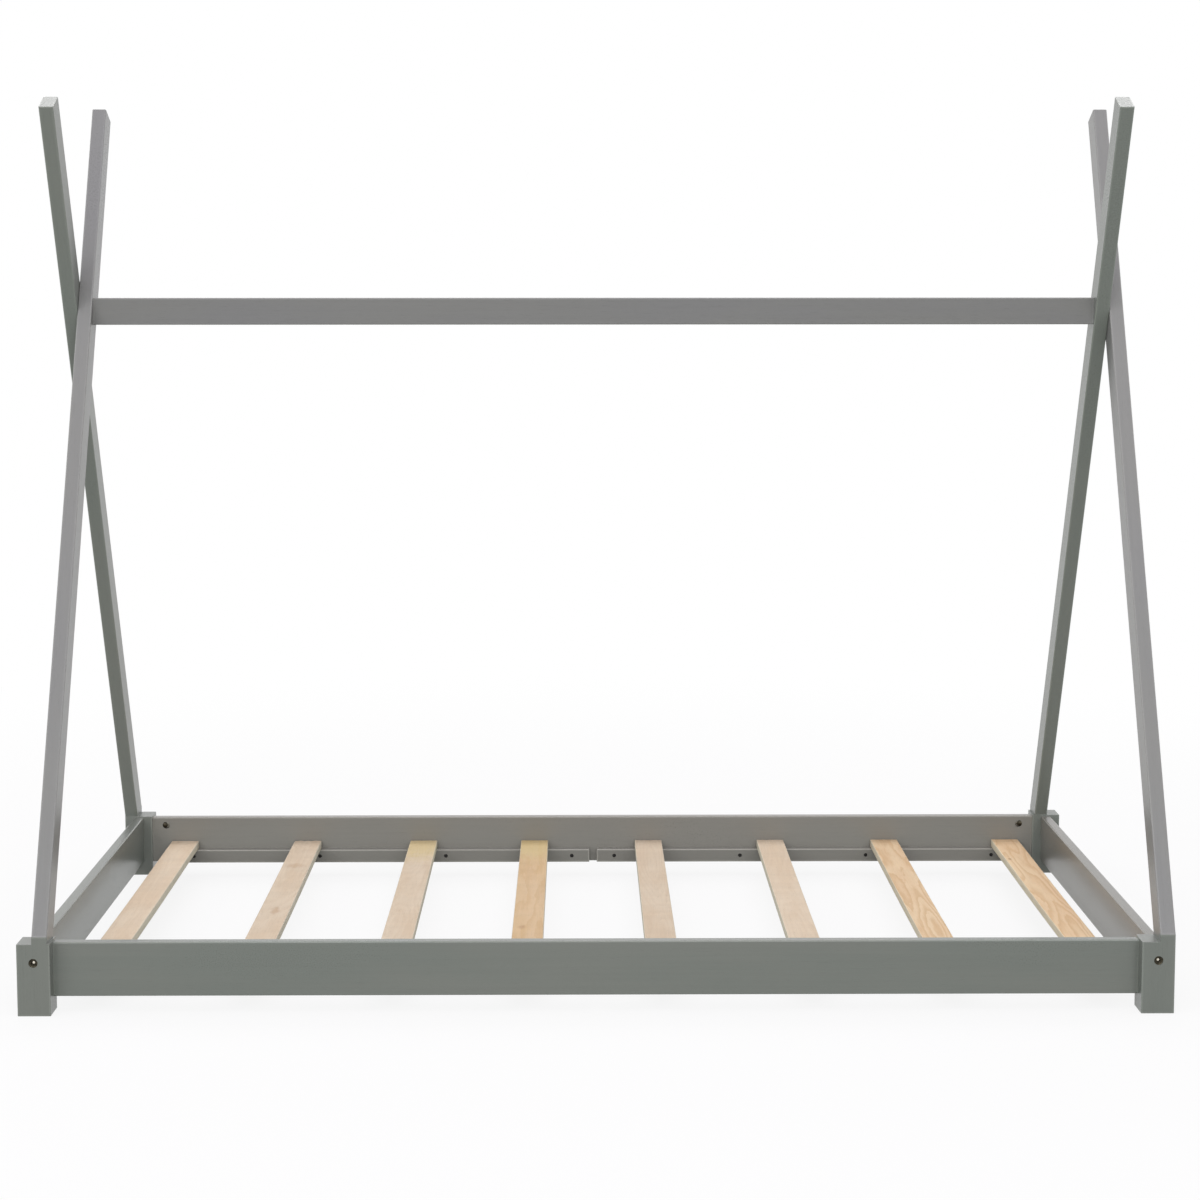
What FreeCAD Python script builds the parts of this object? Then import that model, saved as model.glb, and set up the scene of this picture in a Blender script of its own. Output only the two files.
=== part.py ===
import FreeCAD, Part
import os
import re

import Sketcher
from FreeCAD import Placement, Rotation, Vector

# House bed: a low slatted bed whose corner posts carry four crossed poles and a ridge rail.
# The frame is in millimetres: +X along the length, +Y from front to back, +Z up,
# with the origin on the floor under the middle of the bed.

SIZES = {
    # overall box
    "bed_length": 1390,
    "bed_width": 832,
    "bed_height": 1108,
    # corner posts
    "post_width": 40,
    "post_depth": 40,
    "post_top_rise": 2,
    "seat_lip": 1,
    "post_ease": 1.2,
    # side and end rails
    "rail_clear": 19,
    "rail_height": 67,
    "rail_thick": 14,
    "rail_setback": 21,
    "rail_ease": 2,
    # crossed poles and the ridge rail between them
    "pole_thick": 18.5,
    "pole_width": 39,
    "pole_ease": 1.8,
    "lean_angle": 28,
    "top_cut_angle": 22.4,
    "ridge_height": 35,
    "ridge_thick": 18.5,
    "ridge_ease": 1.8,
    # cleats and the slats on them
    "cleat_rise": 1.5,
    "cleat_height": 19,
    "cleat_depth": 16,
    "cleat_gap": 11,
    "cleat_end_gap": 19.5,
    "cleat_ease": 1,
    "slat_width": 40,
    "slat_thick": 11,
    "slat_end_gap": 1.5,
    "slat_ease": 1.2,
    # socket-head bolts and their barrel nuts
    "bolt_dia": 6,
    "bolt_length": 60,
    "bolt_head_dia": 10,
    "bolt_head_height": 6,
    "bolt_recess": 2,
    "socket_across": 5,
    "socket_depth": 3,
    "bolt_clear": 0.5,
    "bolt_head_clear": 1,
    "bolt_end_clear": 2,
    "side_bolt_drop": 12,
    "end_bolt_drop": 21,
    "barrel_dia": 10,
    "barrel_length": 10,
    "barrel_inset": 20,
    "barrel_clear": 0.4,
    "thread_clear": 0.4,
    # wooden dowels
    "dowel_dia": 8,
    "dowel_length": 30,
    "dowel_clear": 0.2,
    "dowel_end_clear": 0.5,
    "side_dowel_rise": 27,
    "end_dowel_rise": 13,
    "foot_dowel_length": 36,
    "foot_dowel_inset": 16,
    "ridge_dowel_dia": 6,
    "ridge_dowel_length": 20,
    "ridge_dowel_rise": 10.5,
    # sunk pan-head screws through the cleats
    "screw_dia": 3.5,
    "screw_length": 24,
    "screw_head_dia": 5.2,
    "screw_head_height": 2.2,
    "screw_tip_length": 4,
    "screw_tip_dia": 0.6,
    "screw_recess": 1.5,
    "screw_clear": 0.3,
    "screw_inset": 26,
    "screw_end_inset": 43,
    "cross_length": 3.2,
    "cross_width": 0.8,
    "cross_depth": 1.2,
    # rounding round the free cut ends
    "end_ease": 0.8,
    # how far a cut runs past an open face
    "overrun": 1,
}

SCREWS_PER_CLEAT = 4
HEX_SIDES = 6

# Worked-out sizes. A pole's foot and the seat on its post share one sloped cut, which runs
# from the seat's top on the post's outer face down to a small lip on its inner face.
DERIVED = {
    "post_level": "rail_clear + rail_height + post_top_rise",
    "seat_rise": "post_depth * (pole_width / post_depth - cos(lean_angle)) / sin(lean_angle)",
    "seat_low": "post_level + seat_lip",
    "seat_top": "seat_low + seat_rise",
    "seat_angle": "atan(seat_rise / post_depth)",
    "pole_climb": "bed_height - seat_top",
    "pole_run": "pole_climb * tan(lean_angle)",
    "top_cut_length": "pole_width / cos(lean_angle - top_cut_angle)",
    "cross_climb": "(bed_width / 2 * cos(lean_angle) - pole_width / 2) / sin(lean_angle)",
    "cross_height": "seat_top + cross_climb",
    "side_rail_length": "bed_length - 2 * post_width",
    "end_rail_length": "bed_width - 2 * post_depth",
    "ridge_length": "bed_length - 4 * pole_thick",
    "rail_middle": "rail_setback + rail_thick / 2",
    "rail_inner": "rail_setback + rail_thick",
    "end_rail_setback": "(post_width - rail_thick) / 2",
    "end_rail_inner": "(post_width + rail_thick) / 2",
    "side_bolt_rise": "rail_height - side_bolt_drop",
    "end_bolt_rise": "rail_height - end_bolt_drop",
    "side_bolt_height": "rail_clear + side_bolt_rise",
    "end_bolt_height": "rail_clear + end_bolt_rise",
    "side_dowel_height": "rail_clear + side_dowel_rise",
    "end_dowel_height": "rail_clear + end_dowel_rise",
    "cleat_length": "(side_rail_length - cleat_gap) / 2 - cleat_end_gap",
    "screw_pitch": f"(cleat_length - screw_inset - screw_end_inset) / {SCREWS_PER_CLEAT - 1}",
    "cleat_middle": "cleat_rise + cleat_height / 2",
    "slat_base": "rail_clear + cleat_rise + cleat_height",
    "slat_length": "bed_width - 2 * (rail_inner + slat_end_gap)",
    "bolt_hole_dia": "bolt_dia + bolt_clear",
    "bolt_seat": "bolt_recess + bolt_head_height",
    "bolt_sink_dia": "bolt_head_dia + bolt_head_clear",
    "side_bolt_reach": "bolt_seat + bolt_length - post_width + bolt_end_clear",
    "end_bolt_reach": "bolt_seat + bolt_length - post_depth + bolt_end_clear",
    "ridge_bolt_reach": "bolt_seat + bolt_length - 2 * pole_thick + bolt_end_clear",
    "barrel_hole_dia": "barrel_dia + barrel_clear",
    "dowel_hole_dia": "dowel_dia + dowel_clear",
    "dowel_hole_depth": "dowel_length / 2 + dowel_end_clear",
    "foot_dowel_depth": "foot_dowel_length / 2 + dowel_end_clear",
    "ridge_dowel_hole_dia": "ridge_dowel_dia + dowel_clear",
    "ridge_dowel_depth": "ridge_dowel_length / 2 + dowel_end_clear",
    "screw_hole_dia": "screw_dia + screw_clear",
    "screw_sink_dia": "screw_head_dia + screw_clear",
    "screw_seat": "screw_recess + screw_head_height",
    "screw_reach": "screw_seat + screw_length - cleat_depth + screw_clear",
}

# Middle of each slat, as a share of half the space between the end rails. The slats lie
# loose on the cleats, a little unevenly.
SLAT_PLACE_SHARES = (-0.908, -0.635, -0.377, -0.130, 0.123, 0.395, 0.649, 0.919)

# two numbers closer than this are the same place or direction
SAME = 1e-6

X_AXIS = Vector(1, 0, 0)
Y_AXIS = Vector(0, 1, 0)
Z_AXIS = Vector(0, 0, 1)
HALF_TURN = Placement(Vector(), Rotation(Z_AXIS, 180))

doc = FreeCAD.newDocument("HouseBed")
nodes = []


def formula(text):
    """Puts the sheet's name before each size named in a formula."""
    def owned(match):
        word = match.group()
        if word in SIZES:
            return "Sizes." + word
        if word in DERIVED:
            return "Derived." + word
        return word
    return re.sub(r"[a-z_]+", owned, text)


def add_sheet(name, rows):
    """Makes a sheet with one named cell to a row."""
    sheet = doc.addObject("Spreadsheet::Sheet", name)
    for row, (alias, content) in enumerate(rows.items(), start=1):
        sheet.set(f"A{row}", alias)
        sheet.set(f"B{row}", content)
        sheet.setAlias(f"B{row}", alias)
    return sheet


sheet = add_sheet("Sizes", {alias: str(number) for alias, number in SIZES.items()})
add_sheet("Derived", {alias: "=" + formula(text) for alias, text in DERIVED.items()})
doc.recompute()


def value(text):
    """Number that a formula of sizes gives."""
    result = sheet.evalExpression(formula(text))
    return float(getattr(result, "Value", result))


def point(x, y, z):
    """Vector whose three coordinates are formulas of sizes."""
    return Vector(value(x), value(y), value(z))


def facing(direction):
    """Rotation that turns +Z to a direction."""
    return Rotation(Z_AXIS, direction)


def bind(thing, **formulas):
    """Ties an object's properties to formulas of sizes; two underscores stand for a dot."""
    for path, text in formulas.items():
        thing.setExpression(path.replace("__", "."), formula(text))


def new_body(label, x, y, z, turned=False):
    """Body at a place given by formulas, turned half round the upright axis if asked."""
    body = doc.addObject("PartDesign::Body", label)
    body.Label = label
    if turned:
        body.Placement = HALF_TURN
    bind(body, Placement__Base__x=x, Placement__Base__y=y, Placement__Base__z=z)
    nodes.append(body)
    return body


def new_sketch(body, name, plane_role, offset="0"):
    """Sketch on one of its body's origin planes, moved off it by a formula."""
    sketch = body.newObject("Sketcher::SketchObject", name)
    plane = next(item for item in body.Origin.OriginFeatures if item.Role == plane_role)
    sketch.AttachmentSupport = [(plane, "")]
    sketch.MapMode = "FlatFace"
    bind(sketch, AttachmentOffset__Base__z=offset)
    return sketch


def outline(sketch, corners):
    """Closed outline through corners given as pairs of formulas, each tied to the sheets."""
    places = [Vector(value(across), value(up), 0) for across, up in corners]
    count = len(places)
    for index, start in enumerate(places):
        sketch.addGeometry(Part.LineSegment(start, places[(index + 1) % count]), False)
    for index in range(count):
        sketch.addConstraint(Sketcher.Constraint("Coincident", index, 2, (index + 1) % count, 1))
    for index, (across, up) in enumerate(corners):
        place = places[index]
        for kind, text, size in (("DistanceX", across, place.x), ("DistanceY", up, place.y)):
            number = sketch.addConstraint(Sketcher.Constraint(kind, -1, 1, index, 1, size))
            sketch.setExpression(f"Constraints[{number}]", formula(text))


def box_corners(low_x, low_y, high_x, high_y):
    """Four corners of a rectangle, as formulas."""
    return [(low_x, low_y), (high_x, low_y), (high_x, high_y), (low_x, high_y)]


def add_pad(body, name, sketch, length, reverse=False):
    """Pad of a sketch by a formula's length."""
    pad = body.newObject("PartDesign::Pad", name)
    pad.Profile = sketch
    pad.Reversed = reverse
    bind(pad, Length=length)
    doc.recompute()
    return pad


def ease_edges(body, name, radius, wanted):
    """Rounds the edges that a test picks, and those that run on smoothly from them."""
    base = body.Tip
    edges = enumerate(base.Shape.Edges, start=1)
    fillet = body.newObject("PartDesign::Fillet", name)
    fillet.Base = (base, [f"Edge{number}" for number, edge in edges if wanted(edge)])
    bind(fillet, Radius=radius)
    doc.recompute()


def along(axis):
    """Test that picks the straight edges along an axis."""
    def wanted(edge):
        ends = [vertex.Point for vertex in edge.Vertexes]
        return len(ends) == 2 and abs(abs((ends[1] - ends[0]).normalize().dot(axis)) - 1) < SAME
    return wanted


def in_plane(place, normal):
    """Test that picks the edges that lie wholly in a plane."""
    def wanted(edge):
        return all(abs((at - place).dot(normal)) < SAME for at in edge.discretize(3))
    return wanted


def bore(body, name, diameter, length, start, direction):
    """Round hole from a start point along a direction; it must take wood away."""
    before = body.Shape.Volume
    hole = body.newObject("PartDesign::SubtractiveCylinder", name)
    hole.Placement = Placement(start, facing(direction))
    bind(hole, Radius=f"({diameter}) / 2", Height=length)
    doc.recompute()
    if body.Shape.Volume >= before:
        raise RuntimeError(f"{name} cuts nothing")


def bolt_hole(body, name, start, direction, through):
    """Clearance hole with a sunk seat for a bolt's head, from an outer face inwards."""
    past = value("overrun")
    bore(body, name, "bolt_hole_dia", f"{through} + 2 * overrun", start - direction * past, direction)
    bore(body, f"{name}_sink", "bolt_sink_dia", "bolt_seat + overrun", start - direction * past, direction)


def blind_hole(body, name, diameter, depth, start, direction):
    """Hole of a given depth, from a face into the wood."""
    past = value("overrun")
    bore(body, name, diameter, f"{depth} + overrun", start - direction * past, direction)


def make_post(label, x, y, pole_start, inward, turned=False):
    """Corner post in its own frame: +X goes inwards from the outer corner, and so does
    inward times +Y. The pole's seat starts at pole_start across the post's width."""
    depth = f"{inward} * post_depth"
    body = new_body(label, x, y, "0", turned)
    plan = new_sketch(body, f"{label}_plan", "XY_Plane")
    outline(plan, box_corners("0", "0", "post_width", depth))
    add_pad(body, f"{label}_block", plan, "post_level")
    slope = new_sketch(body, f"{label}_slope", "YZ_Plane", pole_start)
    outline(slope, [("0", "post_level"), (depth, "post_level"), (depth, "seat_low"), ("0", "seat_top")])
    add_pad(body, f"{label}_seat", slope, "pole_thick")
    sides = (0, value("post_width"))
    faces = (0, value(depth))
    upright = along(Z_AXIS)
    ease_edges(body, f"{label}_ease", "post_ease",
               lambda edge: upright(edge)
               and any(abs(edge.CenterOfMass.x - side) < SAME for side in sides)
               and any(abs(edge.CenterOfMass.y - face) < SAME for face in faces))
    ease_edges(body, f"{label}_foot_ease", "end_ease", in_plane(Vector(), Z_AXIS))
    bare_side = value("post_width" if pole_start == "0" else "0")
    level = in_plane(point("0", "0", "post_level"), Z_AXIS)
    ease_edges(body, f"{label}_level_ease", "end_ease",
               lambda edge: level(edge) and abs(edge.CenterOfMass.x - bare_side) < SAME)

    inwards = Y_AXIS * inward
    bolt_hole(body, f"{label}_side_bolt", point("0", f"{inward} * rail_middle", "side_bolt_height"),
              X_AXIS, "post_width")
    bolt_hole(body, f"{label}_end_bolt", point("post_width / 2", "0", "end_bolt_height"),
              inwards, "post_depth")
    blind_hole(body, f"{label}_side_dowel", "dowel_hole_dia", "dowel_hole_depth",
               point("post_width", f"{inward} * rail_middle", "side_dowel_height"), -X_AXIS)
    blind_hole(body, f"{label}_end_dowel", "dowel_hole_dia", "dowel_hole_depth",
               point("post_width / 2", depth, "end_dowel_height"), -inwards)
    blind_hole(body, f"{label}_foot_dowel", "dowel_hole_dia", "foot_dowel_depth",
               foot_dowel_point(f"{pole_start} + pole_thick / 2", inward, "seat_top"),
               -seat_normal(inward))


def seat_normal(inward):
    """Direction square to a pole's seat, upwards."""
    return Vector(0, inward * value("sin(seat_angle)"), value("cos(seat_angle)"))


def foot_dowel_point(x, inward, seat_height):
    """Where the foot's dowel crosses the seat, measured from the post's outer face."""
    return point(x, f"{inward} * foot_dowel_inset", f"{seat_height} - foot_dowel_inset * tan(seat_angle)")


def make_pole(label, x, y, bolted_from, turned=False):
    """Straight pole that leans to the back from a front post, in a frame whose origin is the
    outer corner of its foot. An outer pole takes the bolt's head on its +X face, and an
    inner pole takes the ridge rail's dowel there."""
    body = new_body(label, x, y, "seat_top", turned)
    side = new_sketch(body, f"{label}_side", "YZ_Plane")
    outline(side, [("0", "0"), ("post_depth", "-seat_rise"),
                   ("pole_run + top_cut_length * cos(top_cut_angle)",
                    "pole_climb - top_cut_length * sin(top_cut_angle)"),
                   ("pole_run", "pole_climb")])
    add_pad(body, f"{label}_bar", side, "pole_thick")
    axis = Vector(0, value("sin(lean_angle)"), value("cos(lean_angle)"))
    ease_edges(body, f"{label}_ease", "pole_ease", along(axis))
    top_normal = Vector(0, value("sin(top_cut_angle)"), value("cos(top_cut_angle)"))
    ease_edges(body, f"{label}_top_ease", "end_ease",
               in_plane(point("0", "pole_run", "pole_climb"), top_normal))
    face = point("pole_thick", "bed_width / 2", "cross_climb")
    if bolted_from == "outside":
        bolt_hole(body, f"{label}_bolt", face, -X_AXIS, "pole_thick")
    else:
        bore(body, f"{label}_bolt", "bolt_hole_dia", "pole_thick + 2 * overrun",
             face + X_AXIS * value("overrun"), -X_AXIS)
        blind_hole(body, f"{label}_ridge_dowel", "ridge_dowel_hole_dia", "ridge_dowel_depth",
                   face + Z_AXIS * value("ridge_dowel_rise"), -X_AXIS)
    blind_hole(body, f"{label}_foot_dowel", "dowel_hole_dia", "foot_dowel_depth",
               foot_dowel_point("pole_thick / 2", 1, "0"), seat_normal(1))


def make_side_rail(label, x, y, turned=False):
    """Long rail: +X along it, +Y from its outer face to its inner face."""
    body = new_body(label, x, y, "rail_clear", turned)
    section = new_sketch(body, f"{label}_section", "YZ_Plane")
    outline(section, box_corners("0", "0", "rail_thick", "rail_height"))
    add_pad(body, f"{label}_board", section, "side_rail_length")
    ease_edges(body, f"{label}_ease", "rail_ease", along(X_AXIS))
    ends = (("near", "0", "barrel_inset", X_AXIS),
            ("far", "side_rail_length", "side_rail_length - barrel_inset", -X_AXIS))
    for name, end, inset, inwards in ends:
        blind_hole(body, f"{label}_{name}_bolt", "bolt_hole_dia", "side_bolt_reach",
                   point(end, "rail_thick / 2", "side_bolt_rise"), inwards)
        blind_hole(body, f"{label}_{name}_dowel", "dowel_hole_dia", "dowel_hole_depth",
                   point(end, "rail_thick / 2", "side_dowel_rise"), inwards)
        blind_hole(body, f"{label}_{name}_barrel", "barrel_hole_dia", "(rail_thick + barrel_length) / 2",
                   point(inset, "rail_thick", "side_bolt_rise"), -Y_AXIS)
        for index in range(SCREWS_PER_CLEAT):
            place = f"cleat_gap / 2 + screw_inset + {index} * screw_pitch"
            sign = "-" if name == "near" else "+"
            blind_hole(body, f"{label}_{name}_pilot_{index + 1}", "screw_hole_dia", "screw_reach",
                       point(f"side_rail_length / 2 {sign} ({place})", "rail_thick", "cleat_middle"),
                       -Y_AXIS)


def make_end_rail(label, x, y, turned=False):
    """Short rail: +Y along it, +X from its outer face to its inner face."""
    body = new_body(label, x, y, "rail_clear", turned)
    section = new_sketch(body, f"{label}_section", "XZ_Plane")
    outline(section, box_corners("0", "0", "rail_thick", "rail_height"))
    add_pad(body, f"{label}_board", section, "end_rail_length", reverse=True)
    ease_edges(body, f"{label}_ease", "rail_ease", along(Y_AXIS))
    ends = (("near", "0", "barrel_inset", Y_AXIS),
            ("far", "end_rail_length", "end_rail_length - barrel_inset", -Y_AXIS))
    for name, end, inset, inwards in ends:
        blind_hole(body, f"{label}_{name}_bolt", "bolt_hole_dia", "end_bolt_reach",
                   point("rail_thick / 2", end, "end_bolt_rise"), inwards)
        blind_hole(body, f"{label}_{name}_dowel", "dowel_hole_dia", "dowel_hole_depth",
                   point("rail_thick / 2", end, "end_dowel_rise"), inwards)
        blind_hole(body, f"{label}_{name}_barrel", "barrel_hole_dia", "(rail_thick + barrel_length) / 2",
                   point("0", inset, "end_bolt_rise"), X_AXIS)


def make_ridge_rail(label):
    """Ridge rail between the inner poles' inner faces, centred on the poles' crossing."""
    body = new_body(label, "-ridge_length / 2", "0", "cross_height")
    section = new_sketch(body, f"{label}_section", "YZ_Plane")
    outline(section, box_corners("-ridge_thick / 2", "-ridge_height / 2",
                                 "ridge_thick / 2", "ridge_height / 2"))
    add_pad(body, f"{label}_bar", section, "ridge_length")
    ease_edges(body, f"{label}_ease", "ridge_ease", along(X_AXIS))
    ends = (("near", "0", "barrel_inset", X_AXIS),
            ("far", "ridge_length", "ridge_length - barrel_inset", -X_AXIS))
    for name, end, inset, inwards in ends:
        blind_hole(body, f"{label}_{name}_bolt", "bolt_hole_dia", "ridge_bolt_reach",
                   point(end, "0", "0"), inwards)
        blind_hole(body, f"{label}_{name}_dowel", "ridge_dowel_hole_dia", "ridge_dowel_depth",
                   point(end, "0", "ridge_dowel_rise"), inwards)
        blind_hole(body, f"{label}_{name}_barrel", "barrel_hole_dia", "(ridge_height + barrel_length) / 2",
                   point(inset, "0", "-ridge_height / 2"), Z_AXIS)


def make_cleat(label, side, half):
    """Cleat on a side rail's inner face. Its first screw is nearest the middle of the bed.
    A cleat's two ends differ, so the other half of a side has it end over end."""
    inner = f"{side} * (bed_width / 2 - rail_inner)"
    body = new_body(label, f"{half} * cleat_gap / 2", inner, "rail_clear + cleat_middle")
    upright = Rotation(Z_AXIS, 0 if side < 0 else 180)
    flipped = side * half > 0
    body.Placement.Rotation = upright.multiply(Rotation(Y_AXIS, 180 if flipped else 0))
    section = new_sketch(body, f"{label}_section", "YZ_Plane")
    outline(section, box_corners("0", "-cleat_height / 2", "cleat_depth", "cleat_height / 2"))
    add_pad(body, f"{label}_strip", section, "cleat_length")
    ease_edges(body, f"{label}_ease", "cleat_ease", along(X_AXIS))
    for name, end in (("near", "0"), ("far", "cleat_length")):
        ease_edges(body, f"{label}_{name}_ease", "end_ease", in_plane(point(end, "0", "0"), X_AXIS))
    for index in range(SCREWS_PER_CLEAT):
        face = point(f"screw_inset + {index} * screw_pitch", "cleat_depth", "0")
        bore(body, f"{label}_screw_{index + 1}", "screw_hole_dia", "cleat_depth + 2 * overrun",
             face + Y_AXIS * value("overrun"), -Y_AXIS)
        blind_hole(body, f"{label}_sink_{index + 1}", "screw_sink_dia", "screw_seat", face, -Y_AXIS)


def make_slat(label, place_share):
    """Slat across the bed, laid on the front and back cleats."""
    body = new_body(label, f"{place_share} * (bed_length / 2 - end_rail_inner)",
                    "-slat_length / 2", "slat_base")
    section = new_sketch(body, f"{label}_section", "XZ_Plane")
    outline(section, box_corners("-slat_width / 2", "0", "slat_width / 2", "slat_thick"))
    add_pad(body, f"{label}_board", section, "slat_length", reverse=True)
    ease_edges(body, f"{label}_ease", "slat_ease", along(Y_AXIS))
    for name, end in (("near", "0"), ("far", "slat_length")):
        ease_edges(body, f"{label}_{name}_ease", "end_ease", in_plane(point("0", end, "0"), Y_AXIS))


def solid_of(kind, name, start=Vector(), direction=Z_AXIS, **formulas):
    """One primitive solid, tied to the sheets."""
    solid = doc.addObject(kind, name)
    solid.Placement = Placement(start, facing(direction))
    bind(solid, **formulas)
    return solid


def joined(name, pieces):
    """Several solids as one."""
    fuse = doc.addObject("Part::MultiFuse", name)
    fuse.Shapes = pieces
    return fuse


def cut_from(name, base, tool):
    """A solid with another taken out of it."""
    cut = doc.addObject("Part::Cut", name)
    cut.Base = base
    cut.Tool = tool
    return cut


def bolt_pattern():
    """Socket-head bolt: the underside of its head is at the origin, its shank along +Z."""
    shank = solid_of("Part::Cylinder", "bolt_shank", Radius="bolt_dia / 2", Height="bolt_length")
    head = solid_of("Part::Cylinder", "bolt_head", direction=-Z_AXIS,
                    Radius="bolt_head_dia / 2", Height="bolt_head_height")
    socket = solid_of("Part::Prism", "bolt_socket", point("0", "0", "-bolt_head_height - overrun"),
                      Circumradius=f"socket_across / 2 / cos(180 / {HEX_SIDES})",
                      Height="socket_depth + overrun")
    socket.Polygon = HEX_SIDES
    return cut_from("bolt_pattern", joined("bolt_blank", [shank, head]), socket)


def barrel_pattern():
    """Barrel nut: its axis along Z, its threaded cross hole along X through the origin."""
    drum = solid_of("Part::Cylinder", "barrel_drum", point("0", "0", "-barrel_length / 2"),
                    Radius="barrel_dia / 2", Height="barrel_length")
    thread = solid_of("Part::Cylinder", "barrel_thread",
                      point("-barrel_dia / 2 - overrun", "0", "0"), X_AXIS,
                      Radius="(bolt_dia + thread_clear) / 2", Height="barrel_dia + 2 * overrun")
    return cut_from("barrel_pattern", drum, thread)


def dowel_pattern(name, diameter, length):
    """Plain dowel centred on the origin, along Z."""
    return solid_of("Part::Cylinder", name, point("0", "0", f"-{length} / 2"),
                    Radius=f"{diameter} / 2", Height=length)


def screw_pattern():
    """Pan-head screw: the underside of its head at the origin, its point along +Z."""
    head = solid_of("Part::Cylinder", "screw_head", direction=-Z_AXIS,
                    Radius="screw_head_dia / 2", Height="screw_head_height")
    shank = solid_of("Part::Cylinder", "screw_shank", Radius="screw_dia / 2",
                     Height="screw_length - screw_tip_length")
    tip = solid_of("Part::Cone", "screw_tip", point("0", "0", "screw_length - screw_tip_length"),
                   Radius1="screw_dia / 2", Radius2="screw_tip_dia / 2", Height="screw_tip_length")
    long_slot = solid_of("Part::Box", "screw_slot_long",
                         point("-cross_length / 2", "-cross_width / 2", "-screw_head_height - overrun"),
                         Length="cross_length", Width="cross_width", Height="cross_depth + overrun")
    cross_slot = solid_of("Part::Box", "screw_slot_cross",
                          point("-cross_width / 2", "-cross_length / 2", "-screw_head_height - overrun"),
                          Length="cross_width", Width="cross_length", Height="cross_depth + overrun")
    return cut_from("screw_pattern", joined("screw_blank", [head, shank, tip]),
                    joined("screw_cross", [long_slot, cross_slot]))


def make_group(label, pattern, places):
    """Node of separate copies of one fastener, at each place and at its half turn."""
    doc.recompute()
    copies = []
    for place in places:
        for where in (place, HALF_TURN.multiply(place)):
            copy = pattern.Shape.copy()
            copy.Placement = where.multiply(pattern.Placement)
            copies.append(copy)
    group = doc.addObject("Part::Feature", label)
    group.Label = label
    group.Shape = Part.makeCompound(copies)
    group.Placement = Placement()
    nodes.append(group)


def make_timber():
    """Posts, poles, rails, cleats and slats. The right end is the left end turned half round."""
    left, right = "-bed_length / 2", "bed_length / 2"
    front, back = "-bed_width / 2", "bed_width / 2"
    make_post("front_left_post", left, front, "pole_thick", 1)
    make_post("back_left_post", left, back, "0", -1)
    make_post("front_right_post", right, front, "0", -1, turned=True)
    make_post("back_right_post", right, back, "pole_thick", 1, turned=True)
    make_pole("left_inner_pole", f"{left} + pole_thick", front, "inside")
    make_pole("left_outer_pole", f"{left} + pole_thick", back, "outside", turned=True)
    make_pole("right_inner_pole", f"{right} - pole_thick", back, "inside", turned=True)
    make_pole("right_outer_pole", f"{right} - pole_thick", front, "outside")
    make_ridge_rail("ridge_rail")
    make_side_rail("front_rail", f"{left} + post_width", f"{front} + rail_setback")
    make_side_rail("back_rail", f"{right} - post_width", f"{back} - rail_setback", turned=True)
    make_end_rail("left_end_rail", f"{left} + end_rail_setback", f"{front} + post_depth")
    make_end_rail("right_end_rail", f"{right} - end_rail_setback", f"{back} - post_depth", turned=True)
    for side_name, side in (("front", -1), ("back", 1)):
        for half_name, half in (("left", -1), ("right", 1)):
            make_cleat(f"{side_name}_{half_name}_cleat", side, half)
    for number, place_share in enumerate(SLAT_PLACE_SHARES, start=1):
        make_slat(f"slat_{number}", place_share)


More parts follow.
